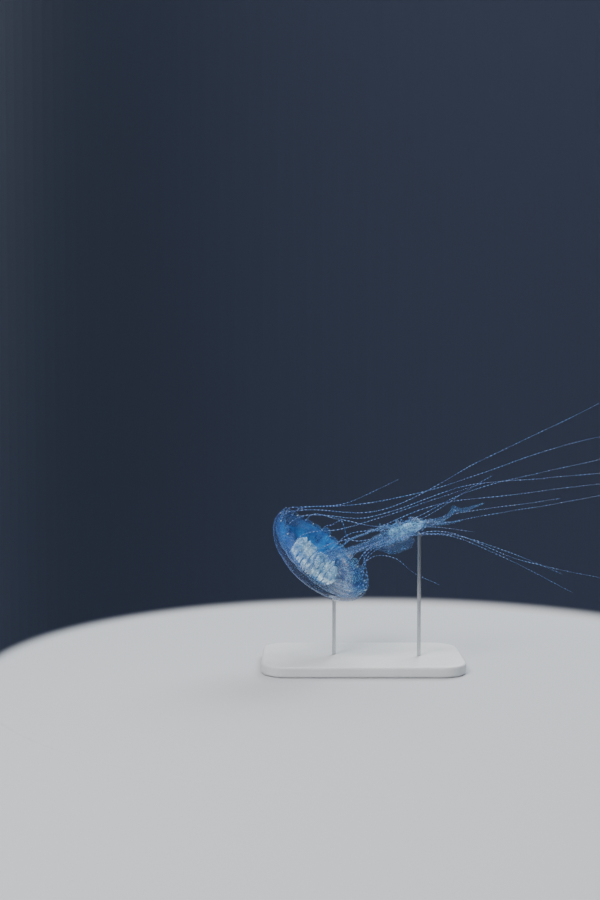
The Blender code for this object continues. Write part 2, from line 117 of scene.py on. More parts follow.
# Tentacles: the depth that each drifts to, then the (along, up) places that it passes,
# the tip last, as millimetres from the bell's centre.
TENTACLES = (
    (-26, ((37, -4), (58, 13), (84, 23))),
    (-35, ((36, 2), (72, 19), (97, 20), (150, 6), (197, -13))),
    (-40, ((36, 7), (80, 26), (124, 22))),
    (-47, ((47, 16), (87, 32), (193, 50))),
    (-45, ((30, 20), (102, 47), (144, 52), (243, 64))),
    (-38, ((14, 24), (80, 45), (132, 62))),
    (-30, ((38, 33), (118, 59), (188, 66), (262, 72))),
    (-16, ((-19, 37), (40, 36), (132, 79), (277, 150))),
    (10, ((-19, 38), (16, 39), (78, 49), (204, 90), (281, 108))),
    (24, ((-15, 36), (16, 39), (67, 61))),
    (32, ((15, 25), (50, 19), (130, 50), (272, 84))),
    (38, ((9, 19), (17, 23), (23, 9), (70, 18), (151, 64))),
    (50, ((70, 14), (147, 27), (251, 45))),
    (42, ((70, 8), (105, 11), (158, -8), (223, -41))),
    (28, ((37, -6), (69, 9), (93, 15), (174, -10), (254, -28))),
    (18, ((34, -14), (45, -5), (63, -7), (80, -20), (102, -30))),
)
TENTACLE_ROOT_RADIUS = 0.62 * MM
TENTACLE_TIP_RADIUS = 0.32 * MM
ROOT_STEM = 6.5 * MM
DRIFT_LENGTH = 70.0 * MM
TENTACLE_SWAY = 2.2 * MM
SWAY_LENGTH = 110.0 * MM
MARGIN_THICKNESS = 2.0 * MM
TENTACLE_RINGS = 440
TENTACLE_SIDES = 8
TIP_ROUNDING = 0.6 * MM
BEAD_LENGTH = 3.2 * MM

# Camera: where the middle of the frame lies from the bell's centre, and how it looks.
CAMERA_LENS = 50.0
CAMERA_DISTANCE = 1.06
CAMERA_DIP = math.radians(2.5)
CAMERA_AIM = BELL_CENTRE + np.array((-18.8, 0.0, 87.5)) * MM

# Studio: a flat floor, the bend up to the wall round it, and their paints.
STAGE_MIDDLE = (0.02, -0.03)
STAGE_FLAT = 0.322
STAGE_BEND = 0.012
STAGE_HEIGHT = 0.9
STAGE_PALE = (0.50, 0.51, 0.53, 1.0)
STAGE_SLATE = (0.024, 0.030, 0.050, 1.0)
LIGHT_AIM = Vector(BELL_CENTRE) + Vector((0.06, 0, 0))

# Colours of the flesh.
BLACK, WHITE = (0.0, 0.0, 0.0, 1), (1.0, 1.0, 1.0, 1)
SPECKLE_WANDER = 1.6 * MM
MUSCLE_DEEP, MUSCLE_PALE = (0.004, 0.045, 0.27, 1), (0.02, 0.18, 0.52, 1)
OUTER_JELLY, LOW_JELLY = (0.05, 0.08, 0.38, 1), (0.005, 0.04, 0.17, 1)
BELL_SPOT = (0.15, 0.44, 0.69, 1)
GONAD_DEEP, GONAD_PALE = (0.50, 0.76, 0.90, 1), (0.84, 0.98, 1.0, 1)
# The gonads' crease colour is painted shade, laid into the folds between the pleats.
GONAD_CREASE_SHADE, GONAD_ROOT, GONAD_EDGE = (0.03, 0.10, 0.24, 1), (0.03, 0.20, 0.52, 1), (0.20, 0.44, 0.66, 1)
ARM_DEEP, ARM_PALE, ARM_WHITE = (0.006, 0.04, 0.23, 1), (0.02, 0.14, 0.42, 1), (0.31, 0.67, 0.94, 1)
GRANULE_DEEP, GRANULE_PALE = (0.02, 0.10, 0.36, 1), (0.06, 0.26, 0.56, 1)
GRANULE_WHITE = (0.34, 0.70, 0.95, 1)
THREAD_DEEP, THREAD_PALE, BEAD = (0.02, 0.06, 0.24, 1), (0.05, 0.17, 0.42, 1), (0.17, 0.30, 0.62, 1)
WART_DEEP, WART_PALE = (0.04, 0.15, 0.42, 1), (0.16, 0.40, 0.66, 1)
SENSE_DEEP, SENSE_PALE = (0.34, 0.46, 0.58, 1), (0.66, 0.74, 0.78, 1)
FILAMENT_DEEP, FILAMENT_PALE = (0.36, 0.60, 0.76, 1), (0.84, 0.95, 0.97, 1)


# ---- shapes


def smooth(value, start, end):
    """0 before start, 1 after end, and t squared times (3 - 2t) between them."""
    t = np.clip((value - start) / (end - start), 0.0, 1.0)
    return t * t * (3.0 - 2.0 * t)


def scatter(count, salt):
    """Even pseudo-random numbers from 0 to 1: the fractional part of a large sine of the index."""
    return np.abs(np.modf(np.sin(np.arange(count) * 12.9898 + salt * 78.233) * 43758.5453)[0])


def unit(vectors):
    """Vectors over their own length."""
    return vectors / np.linalg.norm(vectors, axis=-1, keepdims=True)


def full_turn(count):
    """Even angles round a full turn."""
    return np.linspace(0, TURN, count, endpoint=False)


def tube_rings(line, side, radius, sides):
    """Round rings along a line: each lies across its heading, starting square to a side direction."""
    ahead = unit(np.gradient(line, axis=-2))
    across = unit(np.cross(ahead, side))
    other = np.cross(ahead, across)
    turn = full_turn(sides)[:, None]
    ring = across[..., None, :] * np.cos(turn) + other[..., None, :] * np.sin(turn)
    return line[..., None, :] + ring * radius[..., None, None]


def bell_axes():
    """The bell's own axes in the world: down its long slope, to its front, and to its crown."""
    dive, away = DIVE_ANGLE, AWAY_ANGLE
    ahead, aside = math.cos(away), math.sin(away)
    crown = np.array((-math.cos(dive) * ahead, aside, -math.sin(dive) * ahead))
    slope = np.array((math.sin(dive), 0.0, -math.cos(dive)))
    return np.stack([slope, np.cross(crown, slope), crown])


def on_bell(radius, around, height):
    """World points from radius, angle and height in the bell's frame, swimming stroke added."""
    x, y = radius * np.cos(around), radius * np.sin(around)
    flat = np.stack(np.broadcast_arrays(x, y, height), axis=-1)
    lift = wave_of_bell(radius, around)
    flat[..., 2] += np.broadcast_to(lift, flat.shape[:-1])
    return BELL_CENTRE + flat @ bell_axes()


def wave_of_bell(radius, around):
    """Lift of the swimming stroke: two slow sines round the bell, growing with radius to the fourth."""
    stroke = 0.8 * MM * np.sin(2 * around + 0.7) + 0.5 * MM * np.sin(3 * around + 2.1)
    return stroke * (radius / BELL_RADIUS) ** 4


def hollow_height(radius):
    """Height of the hollow's roof at a radius, on a rounded-square arch."""
    share = np.clip(radius / HOLLOW_RADIUS, 0.0, 1.0)
    return HOLLOW_HEIGHT * (1 - share**HOLLOW_SQUARENESS) ** (1 / HOLLOW_SQUARENESS)


def new_object(name, data):
    """An object of its data, in the scene."""
    made = bpy.data.objects.new(name, data)
    bpy.context.scene.collection.objects.link(made)
    return made


def make_mesh(name, points, faces, values=None):
    """A smooth mesh object from arrays of points and faces, with a float attribute for each named value."""
    mesh = bpy.data.meshes.new(name)
    mesh.from_pydata(points.tolist(), [], faces)
    for label, value in (values or {}).items():
        layer = mesh.attributes.new(label, "FLOAT", "POINT")
        layer.data.foreach_set("value", np.ascontiguousarray(value, dtype=np.float32))
    mesh.shade_smooth()
    return new_object(name, mesh)


def tube_faces(rows, columns, first=0):
    """Quads between neighbouring rings, last column joined to the first, and a fan at each end.

    The two fan centres are the points after the last ring.
    """
    row, column = np.meshgrid(np.arange(rows - 1), np.arange(columns), indexing="ij")
    after = (column + 1) % columns
    a, b = row * columns + column, row * columns + after
    quads = np.stack([a, b, b + columns, a + columns], axis=-1).reshape(-1, 4) + first
    ring = np.arange(columns)
    turned = (ring + 1) % columns
    start = np.stack([turned, ring, np.full(columns, rows * columns)], axis=-1) + first
    last = (rows - 1) * columns
    end = np.stack([last + ring, last + turned, np.full(columns, rows * columns + 1)], axis=-1) + first
    return quads, np.concatenate([start, end])


def volume_sign(points, quads):
    """Sign of the volume under the quads: a third of each corner dotted with the face's cross product."""
    a, b, c, d = (points[quads[:, k]] for k in range(4))
    return np.sign(np.sum(a * np.cross(b, c)) + np.sum(a * np.cross(c, d)))


def add_skin(name, tubes, values=None):
    """One mesh object from closed tubes, each an array (rings, columns, 3), faces pointing out."""
    points, faces, first = [], [], 0
    kept = {label: [] for label in (values or {})}
    for index, rings in enumerate(tubes):
        rows, columns = rings.shape[:2]
        ends = np.stack([rings[0].mean(axis=0), rings[-1].mean(axis=0)])
        flat = np.concatenate([rings.reshape(-1, 3), ends])
        quads, fans = tube_faces(rows, columns)
        middle = flat.mean(axis=0)
        if volume_sign(flat - middle, quads) < 0:
            quads, fans = quads[:, ::-1], fans[:, ::-1]
        points.append(flat)
        faces += (quads + first).tolist() + (fans + first).tolist()
        first += len(flat)
        for label in kept:
            value = np.broadcast_to(values[label][index], (rows, columns))
            kept[label].append(np.concatenate([value.ravel(), [value[0].mean(), value[-1].mean()]]))
    joined = {label: np.concatenate(parts) for label, parts in kept.items()}
    return make_mesh(name, np.concatenate(points), faces, joined)


def bud_shape(sides=7):
    """A small closed bud, one unit in radius and height: foot and shoulder rings, a foot point and a top."""
    turn = full_turn(sides)
    ring = np.stack([np.cos(turn), np.sin(turn), 0 * turn], axis=1)
    foot, shoulder = ring - (0, 0, 0.25), ring * (0.74, 0.74, 1) + (0, 0, 0.55)
    points = np.concatenate([foot, shoulder, [(0, 0, -0.3), (0, 0, 1.0)]])
    return points, *tube_faces(2, sides)


def add_buds(name, places, ups, widths, heights, sides=7, values=None):
    """Many buds as one mesh: the bud scaled by width and height, its z turned to each up direction."""
    points, quads, fans = bud_shape(sides)
    ups = unit(ups)
    helper = np.where(np.abs(ups[:, 2:3]) < 0.9, (0.0, 0.0, 1.0), (1.0, 0.0, 0.0))
    across = unit(np.cross(helper, ups))
    other = np.cross(ups, across)
    spread = points[None, :, 0:1] * across[:, None] + points[None, :, 1:2] * other[:, None]
    rise = points[None, :, 2:3] * ups[:, None]
    placed = places[:, None] + spread * widths[:, None, None] + rise * heights[:, None, None]
    count = len(points)
    first = (np.arange(len(places)) * count)[:, None, None]
    joined = (quads + first).reshape(-1, 4).tolist() + (fans + first).reshape(-1, 3).tolist()
    repeated = {label: np.repeat(value, count) for label, value in (values or {}).items()}
    return make_mesh(name, placed.reshape(-1, 3), joined, repeated)


# ---- materials


def new_group(name, inputs, outputs):
    """An empty shader node group with a socket for each named number or colour, and its two end nodes."""
    group = bpy.data.node_groups.new(name, "ShaderNodeTree")
    for way, values in (("INPUT", inputs), ("OUTPUT", outputs)):
        for label, value in values.items():
            kind = "NodeSocketColor" if isinstance(value, tuple) else "NodeSocketFloat"
            group.interface.new_socket(label, in_out=way, socket_type=kind).default_value = value
    return group, group.nodes.new("NodeGroupInput"), group.nodes.new("NodeGroupOutput")


def add_node(tree, kind, inputs=(), **settings):
    """A node with its settings, and each input linked to a socket or set to a value."""
    node = tree.nodes.new(kind)
    for label, value in settings.items():
        setattr(node, label, value)
    for label, value in dict(inputs).items():
        if isinstance(value, bpy.types.NodeSocket):
            tree.links.new(value, node.inputs[label])
        else:
            node.inputs[label].default_value = value
    return node


def maths(operation, a, b, clamp=False):
    """The result of one Math node, in the tree of a or b."""
    tree = (a if isinstance(a, bpy.types.NodeSocket) else b).id_data
    return add_node(tree, "ShaderNodeMath", {0: a, 1: b}, operation=operation, use_clamp=clamp).outputs[0]


def times(first, *others):
    """The product of two or more values."""
    for value in others:
        first = maths("MULTIPLY", first, value)
    return first


def larger(a, b, clamp=False):
    """The larger of two values."""
    return maths("MAXIMUM", a, b, clamp)


def between(share, a, b):
    """Value a turning to value b."""
    return add_node(share.id_data, "ShaderNodeMix", {0: share, 2: a, 3: b}).outputs[0]


def noise(place, scale, detail, **more):
    """The grey value of a noise at a place."""
    sockets = {"Vector": place, "Scale": scale, "Detail": detail, **more}
    return add_node(place.id_data, "ShaderNodeTexNoise", sockets).outputs["Fac"]


def object_place(tree):
    """Object coordinates."""
    return add_node(tree, "ShaderNodeTexCoord").outputs["Object"]


def feed(shader, **sockets):
    """Links sockets into the shader's inputs, an underscore standing for a space in the input's name."""
    for label, socket in sockets.items():
        shader.id_data.links.new(socket, shader.inputs[label.replace("_", " ")])


def new_material(name, **values):
    """A node material, its tree and its Principled shader, with input values named as feed names them."""
    made = bpy.data.materials.new(name)
    made.use_nodes = True
    shader = made.node_tree.nodes["Principled BSDF"]
    for label, value in values.items():
        shader.inputs[label.replace("_", " ")].default_value = value
    return made, made.node_tree, shader


def relief(shader, height, strength, distance):
    """A bump of a height over the shader's surface."""
    sockets = {"Height": height, "Strength": strength, "Distance": distance}
    bump = add_node(shader.id_data, "ShaderNodeBump", sockets)
    feed(shader, Normal=bump.outputs["Normal"])


def ramp(value, low, high, to_low=0.0, to_high=1.0):
    """A value carried from low..high to to_low..to_high, smoothly and clamped."""
    sockets = {"Value": value, "From Min": low, "From Max": high, "To Min": to_low, "To Max": to_high}
    node = add_node(value.id_data, "ShaderNodeMapRange", sockets, interpolation_type="SMOOTHSTEP")
    return node.outputs["Result"]


def blend_colour(share, a, b):
    """Colour a turning to colour b."""
    return add_node(share.id_data, "ShaderNodeMix", {0: share, 6: a, 7: b}, data_type="RGBA").outputs[2]


def attribute(tree, label):
    """A float attribute of the mesh."""
    return add_node(tree, "ShaderNodeAttribute", attribute_name=label).outputs["Fac"]


def speckle_group():
    """Small irregular spots: the distance to scattered cells under a size, where a slow noise shows them."""
    inputs = {"Scale": 600.0, "Size": 0.35, "Cover": 0.5}
    group, given, result = new_group("speckles", inputs, {"Mask": 0.0})
    size = given.outputs["Size"]
    place = object_place(group)
    wander = add_node(group, "ShaderNodeTexNoise", {"Vector": place, "Scale": 420.0, "Detail": 2.0})
    sockets = {0: wander.outputs["Color"], 3: SPECKLE_WANDER}
    shift = add_node(group, "ShaderNodeVectorMath", sockets, operation="SCALE")
    moved = add_node(group, "ShaderNodeVectorMath", {0: place, 1: shift.outputs[0]}, operation="ADD")
    sockets = {"Vector": moved.outputs[0], "Scale": given.outputs["Scale"]}
    cells = add_node(group, "ShaderNodeTexVoronoi", sockets)
    spot = ramp(cells.outputs["Distance"], times(size, 0.45), size, 1.0, 0.0)
    slow = noise(place, 95.0, 3.0)
    limit = maths("SUBTRACT", 1.0, given.outputs["Cover"])
    shown = ramp(slow, maths("SUBTRACT", limit, 0.08), maths("ADD", limit, 0.08))
    group.links.new(times(spot, shown), result.inputs["Mask"])
    return group


def mottle_group():
    """Two colours clouded into each other by a noise of a given scale."""
    inputs = {"Scale": 120.0, "Deep": BLACK, "Pale": WHITE}
    group, given, result = new_group("mottle", inputs, {"Colour": BLACK, "Value": 0.0})
    cloud = noise(object_place(group), given.outputs["Scale"], 5.0, Roughness=0.62)
    share = ramp(cloud, 0.34, 0.66)
    colour = blend_colour(share, given.outputs["Deep"], given.outputs["Pale"])
    group.links.new(colour, result.inputs["Colour"])
    group.links.new(share, result.inputs["Value"])
    return group


def wet_skin(name, roughness, coat, sheen, bump, **more):
    """A material whose Principled shader has the wet coat and soft edge that all the flesh shares."""
    made, tree, shader = new_material(
        name,
        Roughness=roughness,
        Coat_Weight=coat,
        Coat_Roughness=0.08,
        Sheen_Weight=sheen,
        Sheen_Roughness=0.4,
        Sheen_Tint=(0.35, 0.66, 1.0, 1.0),
        **more,
    )
    relief(shader, noise(object_place(tree), 900.0, 3.0), bump, 0.3 * MM)
    return made, tree, shader


def place_group(tree, group, **inputs):
    """A node group in a material, with its own values."""
    return add_node(tree, "ShaderNodeGroup", inputs, node_tree=group).outputs


def bell_material(speckles, mottle):
    """Clear jelly outside, blue muscle inside, with pale speckles, fibres down the bell and a pale lip.

    Fibres are a noise read fine round the bell and long down it. The outer jelly is denser at its
    outline, as glass is. The inner skin is clearer on the near side, and on the far side in a
    window by the margin. The low end of the bell is darker and more speckled.
    """
    made, tree, shader = wet_skin("bell_jelly", 0.36, 0.14, 0.12, 0.2)
    labels = ("reach", "inner", "lip", "low", "back", "turn_x", "turn_y")
    reach, inner, lip, low, back, turn_x, turn_y = (attribute(tree, label) for label in labels)
    whiter = ramp(low, -0.45, 0.6)
    cloud = place_group(tree, mottle, Scale=85.0, Deep=MUSCLE_DEEP, Pale=MUSCLE_PALE)
    fine = place_group(tree, speckles, Scale=1150.0, Size=0.46, Cover=0.56)["Mask"]
    coarse = place_group(tree, speckles, Scale=560.0, Size=0.38, Cover=0.48)["Mask"]
    spots = times(
        larger(fine, coarse),
        ramp(whiter, 0.0, 1.0, 0.5, 1.0),
        ramp(inner, 0.0, 1.0, 0.35, 1.0),
        ramp(reach, 0.35, 0.75, 0.4, 1.0),
    )
    place = add_node(tree, "ShaderNodeCombineXYZ", {0: turn_x, 1: turn_y, 2: reach}).outputs[0]
    fibre = times(
        ramp(noise(place, 14.0, 4.0, Roughness=0.7), 0.50, 0.64),
        ramp(reach, 0.2, 0.5, 0.0, 0.12),
        ramp(whiter, 0.0, 1.0, 0.15, 1.0),
        inner,
    )
    edge = times(ramp(lip, 0.8, 1.0), ramp(low, -0.2, 0.8, 0.26, 0.34))
    pale = larger(larger(spots, fibre), edge)
    skin = blend_colour(inner, OUTER_JELLY, cloud["Colour"])
    skin = blend_colour(ramp(whiter, 0.2, 0.9, 0.0, 0.85), skin, LOW_JELLY)
    graze = add_node(tree, "ShaderNodeLayerWeight", {"Blend": 0.5}).outputs["Facing"]
    outline = ramp(graze, 0.72, 1.0, 0.0, 0.5)
    outer_alpha = maths("ADD", ramp(reach, 0.70, 1.0, 0.05, 0.12), outline)
    near_alpha = ramp(reach, 0.35, 0.85, 0.07, 0.26)
    window = times(ramp(reach, 0.84, 0.93), ramp(low, -0.90, -0.65, 1.0, 0.0))
    far_alpha = ramp(reach, 0.20, 0.80, 0.50, 0.60)
    far_alpha = times(far_alpha, ramp(window, 0.0, 1.0, 1.0, 0.25))
    inner_alpha = between(ramp(back, 0.3, 0.7), near_alpha, far_alpha)
    inner_alpha = maths("ADD", inner_alpha, ramp(whiter, 0.0, 1.0, 0.16, 0.0))
    clouded = times(
        between(inner, outer_alpha, inner_alpha),
        ramp(lip, 0.0, 0.6, 1.0, 0.4),
        ramp(cloud["Value"], 0.0, 1.0, 0.8, 1.2),
    )
    solid = larger(clouded, times(pale, 0.7), clamp=True)
    feed(shader, Base_Color=blend_colour(pale, skin, BELL_SPOT), Alpha=solid)
    return made


def gonad_material(mottle):
    """Folded gonad tissue: white on the crests, darkened in the creases by painted shade, clearer at the roof
    and the free edge.

    Its white knots glow a little, in place of the light that comes through living tissue.
    """
    within = {"Subsurface_Weight": 0.25, "Subsurface_Radius": (0.8, 0.9, 1.0), "Subsurface_Scale": 1.5 * MM}
    made, tree, shader = wet_skin("gonad_tissue", 0.38, 0.4, 0.1, 0.5, Emission_Strength=0.9, **within)
    crest, hung = attribute(tree, "crest"), attribute(tree, "hung")
    cloud = place_group(tree, mottle, Scale=330.0, Deep=GONAD_DEEP, Pale=GONAD_PALE)
    # Painted shade: where the crest value is low, in the creases, the colour turns to the dark crease colour.
    colour = blend_colour(ramp(crest, 0.12, 0.48), GONAD_CREASE_SHADE, cloud["Colour"])
    rooted = ramp(hung, 0.08, 0.30)
    free = ramp(hung, 0.38, 0.90)
    colour = blend_colour(rooted, GONAD_ROOT, colour)
    colour = blend_colour(times(free, 0.7), colour, GONAD_EDGE)
    glow = times(ramp(cloud["Value"], 0.4, 0.75, 0.22, 1.0), ramp(free, 0.0, 1.0, 1.0, 0.0))
    solid = times(ramp(rooted, 0.0, 1.0, 0.35, 1.0), ramp(free, 0.0, 1.0, 1.0, 0.6))
    feed(shader, Base_Color=colour, Emission_Color=blend_colour(glow, BLACK, colour), Alpha=solid)
    return made


def arm_material(speckles, mottle):
    """Oral arm tissue: clear blue by the keel, white and speckled on the frill."""
    made, tree, shader = wet_skin("arm_frill", 0.32, 0.35, 0.12, 0.3)
    edge, frill = attribute(tree, "edge"), attribute(tree, "frill")
    cloud = place_group(tree, mottle, Scale=170.0, Deep=ARM_DEEP, Pale=ARM_PALE)
    fine = place_group(tree, speckles, Scale=1150.0, Size=0.48, Cover=0.60)["Mask"]
    lace = place_group(tree, mottle, Scale=420.0, Deep=BLACK, Pale=WHITE)["Value"]
    whiten = times(
        ramp(edge, 0.30, 1.0, 0.60, 1.0),
        ramp(frill, 0.05, 0.85, 0.12, 1.0),
        ramp(lace, 0.1, 0.7, 0.35, 1.0),
    )
    pale = larger(times(fine, 0.32), whiten)
    colour = blend_colour(pale, cloud["Colour"], ARM_WHITE)
    feed(shader, Base_Color=colour, Alpha=ramp(pale, 0.05, 0.8, 0.15, 0.95))
    return made


def tentacle_material(mottle):
    """Tentacle thread: blue between the beads, pale on them, fainter towards the tip."""
    made, tree, shader = wet_skin("tentacle_thread", 0.35, 0.3, 0.1, 0.2)
    bead = attribute(tree, "bead")
    cloud = place_group(tree, mottle, Scale=60.0, Deep=THREAD_DEEP, Pale=THREAD_PALE)
    colour = blend_colour(ramp(bead, 0.25, 0.95, 0.0, 0.75), cloud["Colour"], BEAD)
    solid = ramp(bead, 0.0, 0.8, 0.38, 0.85)
    faded = ramp(attribute(tree, "share"), 0.25, 1.0, 1.0, 0.62)
    feed(shader, Base_Color=colour, Alpha=times(solid, faded))
    return made


def bud_material(name, deep, pale, mottle, alpha=None, milk=None):
    """Small buds: two near colours clouded together, let through by alpha or whitened by milk."""
    made, tree, shader = wet_skin(name, 0.35, 0.3, 0.1, 0.1)
    cloud = place_group(tree, mottle, Scale=240.0, Deep=deep, Pale=pale)
    colour = cloud["Colour"]
    if alpha:
        feed(shader, Alpha=ramp(cloud["Value"], 0.0, 1.0, alpha * 0.7, alpha))
    if milk:
        colour = blend_colour(attribute(tree, "milky"), colour, milk)
    feed(shader, Base_Color=colour)
    return made


def stand_paint(mottle):
    """Pale satin paint with a faint orange-peel and a little unevenness."""
    made, tree, shader = new_material("stand_paint")
    cloud = place_group(tree, mottle, Scale=14.0, Deep=(0.60, 0.61, 0.62, 1), Pale=(0.66, 0.67, 0.67, 1))
    feed(shader, Base_Color=cloud["Colour"], Roughness=ramp(cloud["Value"], 0.0, 1.0, 0.42, 0.50))
    relief(shader, noise(object_place(tree), 700.0, 2.0), 0.12, 0.1 * MM)
    return made


def stand_steel():
    """Drawn steel rod: fine scratches along the rod, stretched from a noise."""
    made, tree, shader = new_material("stand_steel", Metallic=1.0)
    sockets = {"Vector": object_place(tree), "Scale": (1800.0, 1800.0, 24.0)}
    lines = noise(add_node(tree, "ShaderNodeMapping", sockets).outputs[0], 1.0, 3.0)
    colour = blend_colour(lines, (0.50, 0.51, 0.53, 1), (0.68, 0.69, 0.70, 1))
    feed(shader, Base_Color=colour, Roughness=ramp(lines, 0.2, 0.8, 0.22, 0.36))
    return made


# ---- bell


def lappet_place(around):
    """Where an angle lies on its lappet: the lappet's number, and -1 to 1 across it."""
    turn = (around * LAPPETS / TURN) % LAPPETS
    number = np.minimum(np.floor(turn).astype(int), LAPPETS - 1)
    return number, (turn - number) * 2 - 1


def lappet_length(around):
    """Length of the margin below the widest ring: a half circle over each lappet, short at each cleft.

    The lappets are drawn in on the far side, but not towards the bell's low end.
    """
    number, across = lappet_place(around)
    far = smooth(-np.sin(around), 0.25, 0.70) * (1 - smooth(np.cos(around), 0.2, 0.7))
    full = LAPPET_LENGTH * (1 - FAR_TUCK * far) - CLEFT_LENGTH
    full = full + LONG_LAPPET_EXTRA * (number == LONG_LAPPET)
    return CLEFT_LENGTH + full * np.sqrt(np.clip(1 - across**2, 0, 1))


def lappet_curl(around, lip):
    """How far a lappet leans out: a pillow across it, and its own curl, growing with lip squared."""
    number, across = lappet_place(around)
    own = scatter(LAPPETS, 1)[number] * 2 - 1 + 2.4 * (number == LONG_LAPPET)
    return LAPPET_CURL * (own * lip**2 * (1 - across**2) + 0.35 * lip * (1 - across**2))


def bell_rows():
    """The bell's section as rows of radius, height, fall, lip and inner, from crown over rim to roof.

    Outside is a quarter ellipse. The margin falls by the lappet's length times fall, and its tip
    is a half circle. Inside is a rounded-square arch. Lip is 1 at the lappets' tips, and inner is
    1 on the inside.
    """

    def rows(radius, height, fall, lip, inner):
        """One stretch of the section."""
        return np.stack(np.broadcast_arrays(radius, height, fall, lip, inner), axis=1)

    a = np.linspace(0, math.pi / 2, 62)[1:]
    lip = np.linspace(0, 1, 16)[1:]
    turn = np.linspace(0, math.pi, 7)[1:-1]
    half = LAPPET_THICKNESS / 2
    middle = BELL_RADIUS - LAPPET_LEAN - half
    back = np.linspace(1, 0, 13)
    b = np.linspace(0, math.pi / 2, 66)[1:-1]
    arch = 2 / HOLLOW_SQUARENESS
    return np.concatenate(
        [
            rows(BELL_RADIUS * np.sin(a), BELL_HEIGHT * np.cos(a), 0.0, 0.0, 0.0),
            rows(BELL_RADIUS - LAPPET_LEAN * lip**2, 0.0, lip, lip, 0.0),
            rows(middle + half * np.cos(turn), -0.35 * MM * np.sin(turn), 1.0, 1.0, turn / math.pi),
            rows(HOLLOW_RADIUS + 0.6 * MM * back, 0.0, back, back, 1.0),
            rows(HOLLOW_RADIUS * np.cos(b) ** arch, HOLLOW_HEIGHT * np.sin(b) ** arch, 0.0, 0.0, 1.0),
        ]
    )


def build_bell():
    """The whole bell as one closed skin: the section carried round the axis and pressed by its details.

    Furrows run up from the clefts. Inside, sixteen low ribs and a few ring folds stand out.
    """
    rows = bell_rows()
    radius, height, fall, lip, inner = (rows[:, k : k + 1] for k in range(5))
    around = full_turn(BELL_COLUMNS)[None, :]
    number, across = lappet_place(around)
    reach = np.clip(radius / BELL_RADIUS, 0, 1)
    near_margin = smooth(reach, 0.70, 0.97)
    groove = np.exp(-(((1 - np.abs(across)) / 0.20) ** 2))
    deep = np.where((number + (across > 0)) % 2 == 1, 1.0, 0.6)
    furrow = FURROW_DEPTH * groove * deep * near_margin * (1 - lip)
    swell = 0.35 * MM * np.sin(5 * around + 9 * reach) * smooth(reach, 0.2, 0.8)
    swell = swell + 0.22 * MM * np.sin(11 * around - 14 * reach + 1.3) * near_margin
    ribs = RIB_HEIGHT * np.cos(RIBS * around) * smooth(reach, 0.34, 0.5) * (1 - smooth(reach, 0.86, 0.97))
    rings = RING_HEIGHT * np.sin(TURN * radius / RING_PITCH)
    rings = rings * smooth(reach, 0.55, 0.66) * (1 - near_margin)
    steep = np.sqrt(np.clip(1 - reach**2, 0, 1))
    outward = np.where(inner < 0.5, swell - furrow, -ribs - rings + 0.4 * swell)
    curl = lappet_curl(around, lip)
    wide = radius + outward * reach * (1 - 0.6 * steep) + curl - 0.4 * furrow * inner
    tall = height - fall * lappet_length(around) + outward * steep
    points = on_bell(wide, around, tall)
    values = {
        "reach": reach,
        "inner": inner,
        "lip": lip,
        "low": np.cos(around - 0.25) * smooth(reach, 0.15, 0.6),
        "back": 0.5 - 0.5 * np.sin(around),
        "turn_x": 3 * np.cos(around),
        "turn_y": 3 * np.sin(around),
    }
    piece = add_skin("bell_skin", [points], {label: [value] for label, value in values.items()})
    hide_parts("bell_dome", "bell_margin")
    return piece


def build_warts():
    """Warts on the outside, on a sunflower spiral: the angle steps by the golden angle, the area evenly."""
    index = np.arange(WARTS)
    jitter = scatter(WARTS, 2)
    a = np.arccos(1 - (index + 0.3 + 0.9 * jitter) / WARTS * (1 - math.cos(WART_SPREAD)))
    around = index * GOLDEN_ANGLE + 0.25 * scatter(WARTS, 3)
    radius, height = BELL_RADIUS * np.sin(a), BELL_HEIGHT * np.cos(a)
    places = on_bell(radius, around, height)
    flat = np.sin(a) / BELL_RADIUS
    normals = np.stack([flat * np.cos(around), flat * np.sin(around), np.cos(a) / BELL_HEIGHT], axis=1)
    normals = normals @ bell_axes()
    widths = (0.14 + 0.26 * scatter(WARTS, 4) ** 2) * MM
    piece = add_buds("bell_warts", places, normals, widths, widths * 0.85)
    return piece


def build_rhopalia():
    """Sense organs: a bud in each cleft that has no tentacle."""
    around = full_turn(LAPPETS // 2)
    places = on_bell(BELL_RADIUS - 1.0 * MM, around, -CLEFT_LENGTH - 0.1 * MM)
    downs = np.tile(-bell_axes()[2], (len(around), 1))
    each = np.full(len(around), MM)
    piece = add_buds("rhopalia", places, downs, 0.55 * each, 1.3 * each, 8)
    return piece


# ---- gonads and mouth tube


